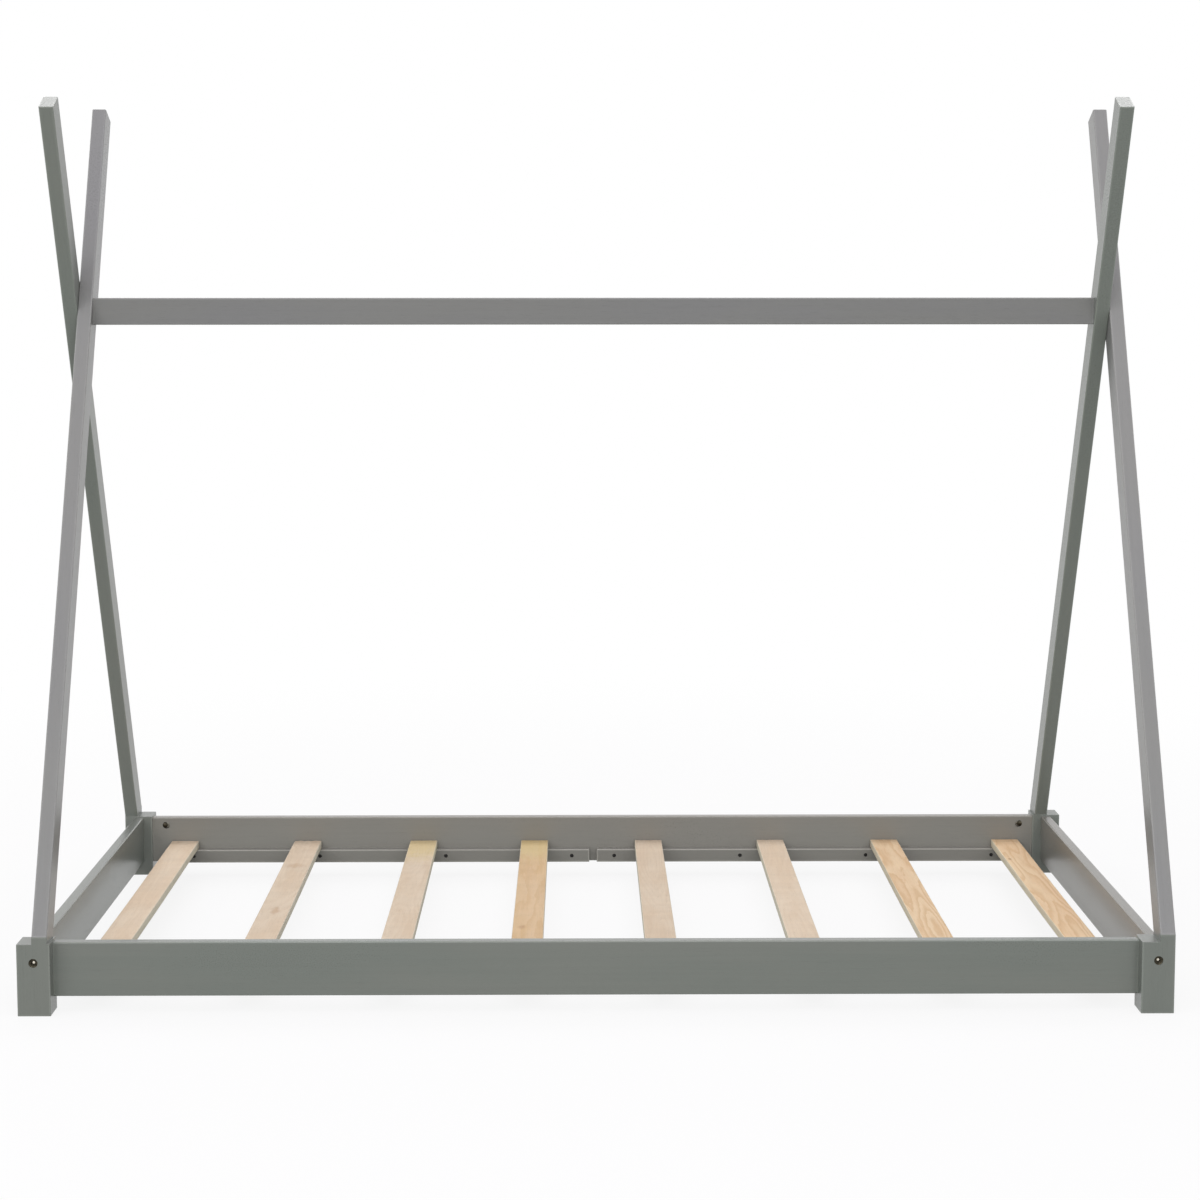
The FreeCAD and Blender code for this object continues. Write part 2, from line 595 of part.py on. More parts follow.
def make_fasteners():
    """Bolts, barrel nuts, dowels and screws, each placed for the front or the left side."""
    bolt = bolt_pattern()
    barrel = barrel_pattern()
    dowel = dowel_pattern("dowel_pattern", "dowel_dia", "dowel_length")
    foot_dowel = dowel_pattern("foot_dowel_pattern", "dowel_dia", "foot_dowel_length")
    ridge_dowel = dowel_pattern("ridge_dowel_pattern", "ridge_dowel_dia", "ridge_dowel_length")
    screw = screw_pattern()
    rail_line = "-(bed_width / 2 - rail_middle)"
    end_line = "bed_length / 2 - post_width / 2"
    side_bolts, side_barrels, side_dowels = [], [], []
    end_bolts, end_barrels, end_dowels = [], [], []
    for sign in (-1, 1):
        inwards = X_AXIS * -sign
        side_bolts.append(Placement(point(f"{sign} * (bed_length / 2 - bolt_seat)", rail_line,
                                          "side_bolt_height"), facing(inwards)))
        side_barrels.append(Placement(point(f"{sign} * (side_rail_length / 2 - barrel_inset)", rail_line,
                                            "side_bolt_height"), facing(Y_AXIS)))
        side_dowels.append(Placement(point(f"{sign} * side_rail_length / 2", rail_line,
                                           "side_dowel_height"), facing(X_AXIS)))
        end_bolts.append(Placement(point(f"{sign} * ({end_line})", "-(bed_width / 2 - bolt_seat)",
                                         "end_bolt_height"), facing(Y_AXIS)))
        end_barrels.append(Placement(point(f"{sign} * ({end_line})",
                                           "-(end_rail_length / 2 - barrel_inset)", "end_bolt_height"),
                                     Rotation(Z_AXIS, 90).multiply(facing(Y_AXIS))))
        end_dowels.append(Placement(point(f"{sign} * ({end_line})", "-end_rail_length / 2",
                                          "end_dowel_height"), facing(Y_AXIS)))
    make_group("side_rail_bolts", bolt, side_bolts)
    make_group("side_rail_barrel_nuts", barrel, side_barrels)
    make_group("side_rail_dowels", dowel, side_dowels)
    make_group("end_rail_bolts", bolt, end_bolts)
    make_group("end_rail_barrel_nuts", barrel, end_barrels)
    make_group("end_rail_dowels", dowel, end_dowels)

    make_group("ridge_bolts", bolt, [Placement(point("-(bed_length / 2 - bolt_seat)", "0", "cross_height"),
                                               facing(X_AXIS))])
    make_group("ridge_barrel_nuts", barrel, [Placement(point("-(ridge_length / 2 - barrel_inset)", "0",
                                                             "cross_height"), Rotation())])
    make_group("ridge_dowels", ridge_dowel, [Placement(point("-ridge_length / 2", "0",
                                                             "cross_height + ridge_dowel_rise"),
                                                       facing(X_AXIS))])
    feet = []
    for across in ("-bed_length / 2 + pole_thick * 3 / 2", "bed_length / 2 - pole_thick / 2"):
        seat = foot_dowel_point(across, 1, "seat_top") - Y_AXIS * value("bed_width / 2")
        feet.append(Placement(seat, facing(seat_normal(1))))
    make_group("pole_foot_dowels", foot_dowel, feet)

    screws = []
    for sign in (-1, 1):
        for index in range(SCREWS_PER_CLEAT):
            head = point(f"{sign} * (cleat_gap / 2 + screw_inset + {index} * screw_pitch)",
                         "-(bed_width / 2 - rail_inner - cleat_depth + screw_seat)",
                         "rail_clear + cleat_middle")
            screws.append(Placement(head, facing(-Y_AXIS)))
    make_group("cleat_screws", screw, screws)


def check_document():
    """Stops the build if any object failed or any node has no sound shape."""
    for item in doc.Objects:
        if "Invalid" in item.State or "Error" in item.State:
            raise RuntimeError(f"{item.Label} failed: {item.State}")
    for node in nodes:
        if node.Shape.isNull() or not node.Shape.isValid() or not node.Shape.Solids:
            raise RuntimeError(f"{node.Label} has no sound shape")


make_timber()
make_fasteners()
doc.recompute()
check_document()
os.makedirs("parts", exist_ok=True)
for node in nodes:
    node.Shape.exportStep(f"parts/{node.Label}.step")
    print(f"{node.Label}: {len(node.Shape.Solids)} solid(s), {node.Shape.Volume / 1000:.1f} cm3")
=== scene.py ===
"""House bed: finishes, fine pieces, studio and camera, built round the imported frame.

Lengths are in metres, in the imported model's frame: +X along the bed, +Y from front to
back, +Z up, with the origin on the floor under the middle of the bed.
"""

import logging
import math
from contextlib import contextmanager
from dataclasses import dataclass, replace
from enum import Enum
from typing import Any, Callable, Iterator

import bmesh
import bpy
from mathutils import Matrix, Vector


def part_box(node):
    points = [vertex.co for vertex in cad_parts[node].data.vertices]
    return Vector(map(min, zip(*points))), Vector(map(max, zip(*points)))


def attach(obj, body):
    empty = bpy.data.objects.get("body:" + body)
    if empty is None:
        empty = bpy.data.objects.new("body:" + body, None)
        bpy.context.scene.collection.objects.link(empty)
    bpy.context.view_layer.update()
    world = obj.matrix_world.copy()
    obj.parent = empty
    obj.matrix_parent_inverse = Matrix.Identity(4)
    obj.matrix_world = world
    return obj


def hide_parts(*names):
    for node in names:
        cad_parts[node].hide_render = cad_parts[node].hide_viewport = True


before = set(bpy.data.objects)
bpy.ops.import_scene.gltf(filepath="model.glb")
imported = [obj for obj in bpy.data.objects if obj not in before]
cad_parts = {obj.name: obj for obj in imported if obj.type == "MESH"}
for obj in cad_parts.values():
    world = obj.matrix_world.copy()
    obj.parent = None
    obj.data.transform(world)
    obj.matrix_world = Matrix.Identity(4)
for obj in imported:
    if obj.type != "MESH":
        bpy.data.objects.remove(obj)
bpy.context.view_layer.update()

BODY = "root"
X_AXIS = Vector((1, 0, 0))
Y_AXIS = Vector((0, 1, 0))
Z_AXIS = Vector((0, 0, 1))

# Lengths under which two points, two levels or two places count as the same
SAME_POINT = 1e-6
SAME_LEVEL = 1e-5
SAME_PLACE = 1e-4
# Least part of a face's normal along the direction that the face looks in
FACING = 0.5
HEX_SIDES = 6
# Steps that set the noises of one piece, and of different pieces, apart
SEED_STEP = 7.3
SHIFT_STEP = 31.7
NOISE_OFFSETS = Vector((1.0, 1.7, 2.3))
NOISE_ROUGHNESS = 0.55
FIRST_SLAT_SEED = 20
FIRST_DOWEL_SEED = 40

Colour = tuple[float, float, float]
Span = tuple[float, float]
Box = tuple[Vector, Vector]
log = logging.getLogger("house_bed")


def shade(red: int, green: int, blue: int) -> Colour:
    """Linear colour of a screen colour given from 0 to 255."""
    def linear(level: float) -> float:
        """Linear level of a screen level from 0 to 1."""
        return level / 12.92 if level <= 0.04045 else ((level + 0.055) / 1.055) ** 2.4
    return linear(red / 255), linear(green / 255), linear(blue / 255)


class Wire:
    """One value in a node sheet, with which sums are written as Python."""

    def __init__(self, sheet: "NodeSheet", socket: bpy.types.NodeSocket) -> None:
        """Keeps the sheet and the output socket."""
        self.sheet = sheet
        self.socket = socket

    def math(self, operation: str, *terms: "Wire | float") -> "Wire":
        """Adds a Math node.

        Args:
            operation: The Math node's operation.
            terms: The values or wires that go in, in order.

        Returns:
            The node's result.
        """
        return self.sheet.add("ShaderNodeMath", {"operation": operation}, dict(enumerate(terms)))

    def other(self, output: str) -> "Wire":
        """Another output of the same node."""
        return Wire(self.sheet, self.socket.node.outputs[output])

    def __add__(self, term: "Wire | float") -> "Wire":
        """This plus a term."""
        return self.math("ADD", self, term)

    def __radd__(self, term: float) -> "Wire":
        """A number plus this."""
        return self.math("ADD", term, self)

    def __sub__(self, term: "Wire | float") -> "Wire":
        """This less a term."""
        return self.math("SUBTRACT", self, term)

    def __rsub__(self, term: float) -> "Wire":
        """A number less this."""
        return self.math("SUBTRACT", term, self)

    def __mul__(self, term: "Wire | float") -> "Wire":
        """This times a term."""
        return self.math("MULTIPLY", self, term)

    def __rmul__(self, term: float) -> "Wire":
        """A number times this."""
        return self.math("MULTIPLY", term, self)

    def __truediv__(self, term: "Wire | float") -> "Wire":
        """This over a term."""
        return self.math("DIVIDE", self, term)

    def __abs__(self) -> "Wire":
        """This without its sign."""
        return self.math("ABSOLUTE", self)

    def least(self, term: "Wire | float") -> "Wire":
        """The lesser of this and a term."""
        return self.math("MINIMUM", self, term)

    def most(self, term: "Wire | float") -> "Wire":
        """The greater of this and a term."""
        return self.math("MAXIMUM", self, term)

    def root(self) -> "Wire":
        """Square root."""
        return self.math("SQRT", self)

    def part(self) -> "Wire":
        """Fractional part."""
        return self.math("FRACT", self)

    def swing(self) -> "Wire":
        """A noise about 0.5, moved to lie about 0."""
        return self - 0.5

    def rise(self, low: float, high: float) -> "Wire":
        """Smooth step from 0 at low to 1 at high."""
        return self.sheet.add("ShaderNodeMapRange", {"interpolation_type": "SMOOTHSTEP"},
                              {"Value": self, "From Min": low, "From Max": high})


class NodeSheet:
    """The nodes of one material or of the world."""

    def __init__(self, owner: bpy.types.Material | bpy.types.World) -> None:
        """Empties the owner's node tree."""
        owner.use_nodes = True
        self.tree = owner.node_tree
        self.tree.nodes.clear()

    def add(self, kind: str, settings: dict[str, Any] | None = None,
            inputs: dict[str | int, Any] | None = None, output: str | int = 0) -> Wire:
        """Adds a node.

        Args:
            kind: The node's type.
            settings: Properties of the node, set before its sockets.
            inputs: Values or wires by the socket's number, name or identifier.
            output: The output that is returned.

        Returns:
            A wire from that output.
        """
        node = self.tree.nodes.new(kind)
        for name, setting in (settings or {}).items():
            setattr(node, name, setting)
        for key, value in (inputs or {}).items():
            socket = self.find(node.inputs, key)
            if isinstance(value, Wire):
                self.tree.links.new(value.socket, socket)
            else:
                socket.default_value = value
        found = self.find(node.outputs, output) if len(node.outputs) else None
        return Wire(self, found)

    @staticmethod
    def find(sockets: bpy.types.bpy_prop_collection, key: str | int) -> bpy.types.NodeSocket:
        """Socket by its number, name or identifier."""
        if isinstance(key, int):
            return sockets[key]
        return next(socket for socket in sockets if key in (socket.identifier, socket.name))

    def mix(self, first: Colour | Wire, second: Colour | Wire, factor: Wire) -> Wire:
        """Blend of two colours."""
        def full(colour: Colour | Wire) -> Any:
            """A plain colour with its alpha, or the wire itself."""
            return colour if isinstance(colour, Wire) else (*colour, 1.0)
        return self.add("ShaderNodeMix", {"data_type": "RGBA"},
                        {"Factor_Float": factor, "A_Color": full(first), "B_Color": full(second)},
                        "Result_Color")

    def toned(self, colour: Wire, tone: Wire) -> Wire:
        """A colour made lighter or darker."""
        return self.add("ShaderNodeVectorMath", {"operation": "SCALE"},
                        {"Vector": colour, "Scale": tone})

    def bump(self, height: Wire) -> Wire:
        """Normal of a surface raised by a height in metres."""
        return self.add("ShaderNodeBump", {}, {"Strength": 1.0, "Distance": 1.0, "Height": height})

    def surface(self, inputs: dict[str, Any]) -> None:
        """Joins a Principled shader with these sockets to the material's output."""
        shader = self.add("ShaderNodeBsdfPrincipled", {}, inputs)
        self.add("ShaderNodeOutputMaterial", {}, {"Surface": shader})


@dataclass(frozen=True)
class Lay:
    """How a piece of timber lies.

    Its three axes run along the grain, across the width and through the thickness.
    """

    middle: Vector
    axes: tuple[Vector, Vector, Vector]
    half: Vector
    seed: float

    @classmethod
    def of_node(cls, node: str, along: Vector, across: Vector, seed: float) -> "Lay":
        """Measures a node's box along its own axes.

        Args:
            node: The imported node.
            along: Direction of the grain.
            across: Direction across the widest face.
            seed: Number that gives the piece its own grain.

        Returns:
            The node's lay.
        """
        axes = (along.normalized(), across.normalized(), along.cross(across).normalized())
        spots = [vertex.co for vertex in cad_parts[node].data.vertices]
        middle = Vector()
        half = Vector()
        for index, axis in enumerate(axes):
            spans = [spot.dot(axis) for spot in spots]
            middle += axis * (min(spans) + max(spans)) / 2
            half[index] = (max(spans) - min(spans)) / 2
        return cls(middle, axes, half, seed)


@dataclass(frozen=True)
class Pattern:
    """One noise of a finish.

    The scale is in features to a metre along, across and through the timber, detail is the
    number of finer layers, and shift sets the noise apart from the others of the piece.
    """

    scale: tuple[float, float, float]
    detail: float
    shift: float = 0.0


class GrainSheet(NodeSheet):
    """Nodes of a timber finish, in the piece's own coordinates."""

    def __init__(self, owner: bpy.types.Material, lay: Lay) -> None:
        """Centres and turns the coordinates to a piece's lay."""
        super().__init__(owner)
        self.lay = lay
        turn = Matrix(lay.axes).transposed().to_euler()
        place = self.add("ShaderNodeTexCoord", output="Object")
        self.local = self.add("ShaderNodeMapping", {"vector_type": "TEXTURE"},
                              {"Vector": place, "Location": lay.middle, "Rotation": turn})
        self.along = self.add("ShaderNodeSeparateXYZ", {}, {"Vector": self.local}, "X")
        self.across = self.along.other("Y")
        self.through = self.along.other("Z")

    def noise(self, pattern: Pattern) -> Wire:
        """Noise from 0 to 1, about 0.5, in a pattern."""
        start = SEED_STEP * self.lay.seed + SHIFT_STEP * pattern.shift
        spread = self.add("ShaderNodeMapping", {"vector_type": "POINT"},
                          {"Vector": self.local, "Location": start * NOISE_OFFSETS,
                           "Scale": pattern.scale})
        return self.add("ShaderNodeTexNoise", {},
                        {"Vector": spread, "Scale": 1.0, "Detail": pattern.detail,
                         "Roughness": NOISE_ROUGHNESS}, "Fac")

    def face_gaps(self) -> list[Wire]:
        """Distance to the nearer face along each axis."""
        parts = (self.along, self.across, self.through)
        return [half - abs(part) for half, part in zip(self.lay.half, parts)]

    def edge_gap(self) -> Wire:
        """Distance to the nearest edge: the middle one of the three distances to faces."""
        first, second, third = self.face_gaps()
        return first.least(second).most(first.most(second).least(third))


class PaintGrey(Enum):
    """Greys of the paint, which differ a little from board to board and also stand in for the tint of the
    light on each piece, as painted light.
    """

    GREEN = shade(114, 119, 113)
    WARM = shade(121, 119, 113)
    NEUTRAL = shade(117, 117, 117)


@dataclass(frozen=True)
class GreyPaint:
    """Satin grey paint, thin enough for the grain to show through."""

    cloud: Pattern = Pattern((2.5, 12, 12), 3)
    streak: Pattern = Pattern((3.5, 210, 210), 4, 1)
    bristle: Pattern = Pattern((9, 950, 950), 2, 2)
    peel: Pattern = Pattern((620, 620, 620), 2, 3)
    pores: Pattern = Pattern((48, 1500, 1500), 2, 4)
    pore_band: Span = (0.60, 0.70)
    edge_band: Span = (0.0004, 0.0026)
    end_band: Span = (0.0004, 0.0014)
    cloud_band: Span = (0.35, 0.65)
    cloud_tint: Colour = shade(121, 121, 115)
    cloud_share: float = 0.35
    cloud_tone: float = 0.09
    streak_tone: float = 0.10
    pore_tone: float = 0.10
    # Painted highlight: the paint is made lighter along every edge, for the light that the eased edges
    # catch.
    edge_highlight_tone: float = 0.34
    end_tone: float = 0.05
    roughness: float = 0.30
    cloud_rough: float = 0.12
    peel_rough: float = 0.10
    edge_rough: float = 0.06
    streak_height: float = 6e-5
    bristle_height: float = 1.6e-5
    peel_height: float = 1.2e-5
    pore_depth: float = 4e-5
    specular: float = 0.5

    def material(self, name: str, lay: Lay, grey: PaintGrey, coat_and_painted_light: float) -> bpy.types.Material:
        """Makes the paint for one piece.

        Args:
            name: Name of the material.
            lay: How the piece lies.
            grey: The piece's grey.
            coat_and_painted_light: How light this piece's paint is made: partly its own shade, and partly
                painted light and shade for how the light falls on the piece.

        Returns:
            The material.
        """
        made = bpy.data.materials.new(name)
        sheet = GrainSheet(made, lay)
        cloud = sheet.noise(self.cloud)
        streak = sheet.noise(self.streak)
        bristle = sheet.noise(self.bristle)
        peel = sheet.noise(self.peel)
        pores = sheet.noise(self.pores).rise(*self.pore_band)
        edge = 1 - sheet.edge_gap().rise(*self.edge_band)
        end = 1 - sheet.face_gaps()[0].rise(*self.end_band)

        # The tone is lighter along the edges, a painted highlight.
        tone = (coat_and_painted_light + self.cloud_tone * cloud.swing() + self.streak_tone * streak.swing()
                - self.pore_tone * pores + self.edge_highlight_tone * edge - self.end_tone * end)
        tint = sheet.mix(grey.value, self.cloud_tint, self.cloud_share * cloud.rise(*self.cloud_band))
        rough = (self.roughness + self.cloud_rough * cloud.swing() + self.peel_rough * peel.swing()
                 - self.edge_rough * edge)
        height = (self.streak_height * streak + self.bristle_height * bristle
                  + self.peel_height * peel - self.pore_depth * pores)
        sheet.surface({"Base Color": sheet.toned(tint, tone), "Roughness": rough,
                       "Specular IOR Level": self.specular, "Normal": sheet.bump(height)})
        return made


@dataclass(frozen=True)
class Mark:
    """A soft-edged stain or knot on a board, placed from the board's middle."""

    along: float
    across: float
    length: float
    width: float
    colour: Colour
    share: float
    ragged: Pattern = Pattern((70, 180, 180), 2, 9)
    raggedness: float = 0.9
    fade: Span = (0.25, 1.0)

    def spread(self, sheet: GrainSheet) -> Wire:
        """How strongly the mark shows at each point."""
        run = (sheet.along - self.along) / self.length
        side = (sheet.across - self.across) / self.width
        ragged = sheet.noise(self.ragged).swing()
        gap = (run * run + side * side).root() + self.raggedness * ragged
        return self.share * (1 - gap.rise(*self.fade))


@dataclass(frozen=True)
class BareWood:
    """Bare planed wood with wavy growth lines, cross figure, fibres and flecks."""

    early: Colour
    late: Colour
    blush: Colour
    # The sides' colour is partly their own greyer colour and partly painted light: it is lighter to make up
    # for the shade that falls on the slats' sides.
    flank: Colour = shade(218, 216, 198)
    flank_share: float = 0.6
    wave: Pattern = Pattern((2.1, 21, 21), 1.2)
    ripple: Pattern = Pattern((24, 170, 170), 2, 1)
    blotch: Pattern = Pattern((6, 26, 26), 3, 3)
    figure: Pattern = Pattern((42, 9, 9), 2, 4)
    fibre: Pattern = Pattern((13, 640, 640), 3, 5)
    fleck: Pattern = Pattern((75, 1700, 1700), 1, 6)
    plies: Pattern = Pattern((4, 40, 900), 1, 7)
    line_count: float = 15
    line_share: float = 0.5
    line_ripple: float = 0.8
    line_rise: Span = (0.25, 0.86)
    line_fall: Span = (0.88, 1.0)
    blotch_band: Span = (0.36, 0.64)
    fleck_band: Span = (0.62, 0.70)
    edge_band: Span = (0.0003, 0.0016)
    end_band: Span = (0.0005, 0.0016)
    flank_band: Span = (0.0003, 0.0010)
    blotch_tone: float = 0.10
    figure_tone: float = 0.10
    fibre_tone: float = 0.15
    fleck_tone: float = 0.12
    # Painted highlight: the wood is made a little lighter along every edge, for the light that the eased
    # edges catch.
    edge_highlight_tone: float = 0.05
    end_tone: float = 0.16
    ply_tone: float = 0.30
    roughness: float = 0.62
    fibre_rough: float = 0.12
    line_rough: float = 0.08
    end_rough: float = 0.10
    fibre_height: float = 3e-5
    fleck_depth: float = 4e-5
    line_height: float = 1.5e-5
    specular: float = 0.3
    tone: float = 1.0
    marks: tuple[Mark, ...] = ()

    def material(self, name: str, lay: Lay) -> bpy.types.Material:
        """Makes the wood for one piece.

        Args:
            name: Name of the material.
            lay: How the piece lies.

        Returns:
            The material.
        """
        made = bpy.data.materials.new(name)
        sheet = GrainSheet(made, lay)
        blotch = sheet.noise(self.blotch)
        figure = sheet.noise(self.figure)
        fibre = sheet.noise(self.fibre)
        fleck = sheet.noise(self.fleck).rise(*self.fleck_band)
        late = self.growth_lines(sheet)
        edge = 1 - sheet.edge_gap().rise(*self.edge_band)
        gaps = sheet.face_gaps()
        end = 1 - gaps[0].rise(*self.end_band)
        flank = 1 - gaps[1].rise(*self.flank_band)
        plies = sheet.noise(self.plies)

        ground = sheet.mix(self.early, self.blush, blotch.rise(*self.blotch_band))
        colour = sheet.mix(ground, self.late, self.line_share * late)
        for mark in self.marks:
            colour = sheet.mix(colour, mark.colour, mark.spread(sheet))
        colour = sheet.mix(colour, self.flank, self.flank_share * flank)
        # The tone is a little lighter along the edges, a painted highlight.
        tone = self.tone * (1 + self.blotch_tone * blotch.swing() + self.figure_tone * figure.swing()
                            + self.fibre_tone * fibre.swing() - self.fleck_tone * fleck
                            + self.edge_highlight_tone * edge - self.end_tone * end
                            + self.ply_tone * flank * plies.swing())
        rough = (self.roughness + self.fibre_rough * fibre.swing() + self.line_rough * late
                 + self.end_rough * end)
        height = self.fibre_height * fibre - self.fleck_depth * fleck + self.line_height * late
        sheet.surface({"Base Color": sheet.toned(colour, tone), "Roughness": rough,
                       "Specular IOR Level": self.specular, "Normal": sheet.bump(height)})
        return made

    def growth_lines(self, sheet: GrainSheet) -> Wire:
        """Thin dark lines that follow the levels of a slow wave, as on a peeled or flat-sawn face."""
        wave = sheet.noise(self.wave)
        ripple = sheet.noise(self.ripple)
        level = (self.line_count * wave + self.line_ripple * ripple).part()
        return level.rise(*self.line_rise) - level.rise(*self.line_fall)


@dataclass(frozen=True)
class PlainSteel:
    """Plated steel with fine scratches and a cloudy sheen."""

    colour: Colour
    dull: Colour
    roughness: float = 0.3
    cloud_scale: float = 420.0
    cloud_detail: float = 3.0
    scratch_scale: float = 2600.0
    scratch_detail: float = 2.0
    dull_band: Span = (0.35, 0.7)
    cloud_rough: float = 0.25
    scratch_rough: float = 0.15
    scratch_height: float = 6e-6

    def material(self, name: str) -> bpy.types.Material:
        """Makes the steel under a name."""
        made = bpy.data.materials.new(name)
        sheet = NodeSheet(made)
        place = sheet.add("ShaderNodeTexCoord", output="Object")
        cloud = sheet.add("ShaderNodeTexNoise", {},
                          {"Vector": place, "Scale": self.cloud_scale, "Detail": self.cloud_detail}, "Fac")
        scratch = sheet.add("ShaderNodeTexNoise", {},
                            {"Vector": place, "Scale": self.scratch_scale, "Detail": self.scratch_detail},
                            "Fac")
        rough = (self.roughness + self.cloud_rough * cloud.swing()
                 + self.scratch_rough * scratch.swing())
        sheet.surface({"Base Color": sheet.mix(self.colour, self.dull, cloud.rise(*self.dull_band)),
                       "Metallic": 1.0, "Roughness": rough,
                       "Normal": sheet.bump(self.scratch_height * scratch)})
        return made


def dress(piece: bpy.types.Object, material: bpy.types.Material) -> None:
    """Gives a piece one material in every slot."""
    if not piece.material_slots:
        piece.data.materials.append(material)
    for place in piece.material_slots:
        place.material = material


def make_active(piece: bpy.types.Object) -> None:
    """Selects one piece and nothing else."""
    bpy.ops.object.select_all(action="DESELECT")
    piece.select_set(True)
    bpy.context.view_layer.objects.active = piece


def settle(piece: bpy.types.Object) -> None:
    """Puts a piece's place, turn and scale into its mesh."""
    make_active(piece)
    bpy.ops.object.transform_apply(location=True, rotation=True, scale=True)


def new_block(name: str, low: Vector, high: Vector) -> bpy.types.Object:
    """Rectangular block between two corners."""
    bpy.ops.object.select_all(action="DESELECT")
    bpy.ops.mesh.primitive_cube_add(size=1, location=(low + high) / 2, scale=high - low)
    piece = bpy.context.object
    piece.name = name
    settle(piece)
    return piece


def new_rod(name: str, sides: int, radius: float, start: float, stop: float) -> bpy.types.Object:
    """Rod along Z between two heights, with a number of sides."""
    bpy.ops.object.select_all(action="DESELECT")
    bpy.ops.mesh.primitive_cylinder_add(vertices=sides, radius=radius, depth=stop - start,
                                        location=(0, 0, (start + stop) / 2))
    piece = bpy.context.object
    piece.name = name
    settle(piece)
    return piece


@contextmanager
def editing(piece: bpy.types.Object, faces: Callable[[Vector, Vector], bool] | None = None,
            edges: Callable[[Vector, Vector], bool] | None = None) -> Iterator[None]:
    """Edit mode with chosen faces or edges selected.

    Args:
        piece: The piece to shape.
        faces: Test on a face's centre and normal.
        edges: Test on an edge's two ends.

    Returns:
        A context in which the piece is in edit mode.
    """
    make_active(piece)
    mesh = piece.data
    bpy.context.tool_settings.mesh_select_mode = (False, edges is not None, edges is None)
    bpy.ops.object.mode_set(mode="EDIT")
    bpy.ops.mesh.select_all(action="DESELECT")
    bpy.ops.object.mode_set(mode="OBJECT")
    if faces:
        for face in mesh.polygons:
            face.select = faces(face.center, face.normal)
    if edges:
        for edge in mesh.edges:
            edge.select = edges(*(mesh.vertices[index].co for index in edge.vertices))
    bpy.ops.object.mode_set(mode="EDIT")
    try:
        yield
    finally:
        bpy.ops.object.mode_set(mode="OBJECT")


def apply_modifier(piece: bpy.types.Object, kind: str, **settings: Any) -> None:
    """Adds a modifier with its settings and applies it."""
    make_active(piece)
    modifier = piece.modifiers.new(kind.lower(), kind)
    for name, setting in settings.items():
        setattr(modifier, name, setting)
    bpy.ops.object.modifier_apply(modifier=modifier.name)


def cut(piece: bpy.types.Object, cutter: bpy.types.Object) -> None:
    """Takes a cutter's shape out of a piece and removes the cutter."""
    apply_modifier(piece, "BOOLEAN", operation="DIFFERENCE", solver="EXACT", object=cutter)
    bpy.data.objects.remove(cutter)


def smooth(piece: bpy.types.Object, degrees: float = 32) -> None:
    """Shades a piece smooth across edges flatter than an angle."""
    make_active(piece)
    bpy.ops.object.shade_smooth_by_angle(angle=math.radians(degrees))


def solid_boxes(node: str) -> list[Box]:
    """Box of each separate solid in a node."""
    work = bmesh.new()
    work.from_mesh(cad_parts[node].data)
    bmesh.ops.remove_doubles(work, verts=work.verts, dist=SAME_POINT)
    left = set(work.verts)
    boxes = []
    while left:
        reach = [left.pop()]
        found = list(reach)
        while reach:
            for edge in reach.pop().link_edges:
                for vertex in edge.verts:
                    if vertex in left:
                        left.remove(vertex)
                        reach.append(vertex)
                        found.append(vertex)
        spots = [vertex.co.copy() for vertex in found]
        boxes.append((Vector(min(spot[axis] for spot in spots) for axis in range(3)),
                      Vector(max(spot[axis] for spot in spots) for axis in range(3))))
    work.free()
    return sorted(boxes, key=lambda box: tuple(round(value, 4) for value in box[0]))


class Fastener:
    """A fastener that is modelled once, along +Z, and copied to each place in a node."""

    def build(self) -> bpy.types.Object:
        """Models the fastener."""
        raise NotImplementedError

    def place(self, box: Box) -> Matrix:
        """Where a copy goes for one solid's box."""
        raise NotImplementedError

    def set_in(self, node: str, *steels: bpy.types.Material) -> None:
        """Puts a copy at each solid of a node, as one piece that stands for the node.

        Args:
            node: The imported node.
            steels: Materials of the copies, by the faces' material numbers.
        """
        pattern = self.build()
        for steel in steels:
            pattern.data.materials.append(steel)
        smooth(pattern)
        copies = []
        for box in solid_boxes(node):
            copy = pattern.copy()
            copy.data = pattern.data.copy()
            copy.data.transform(self.place(box))
            bpy.context.scene.collection.objects.link(copy)
            copies.append(copy)
        bpy.data.objects.remove(pattern)
        make_active(copies[0])
        for copy in copies:
            copy.select_set(True)
        bpy.ops.object.join()
        piece = bpy.context.object
        piece.name = f"fine_{node}"
        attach(piece, BODY)
        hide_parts(node)
        log.info("%s: %d copies", piece.name, len(copies))


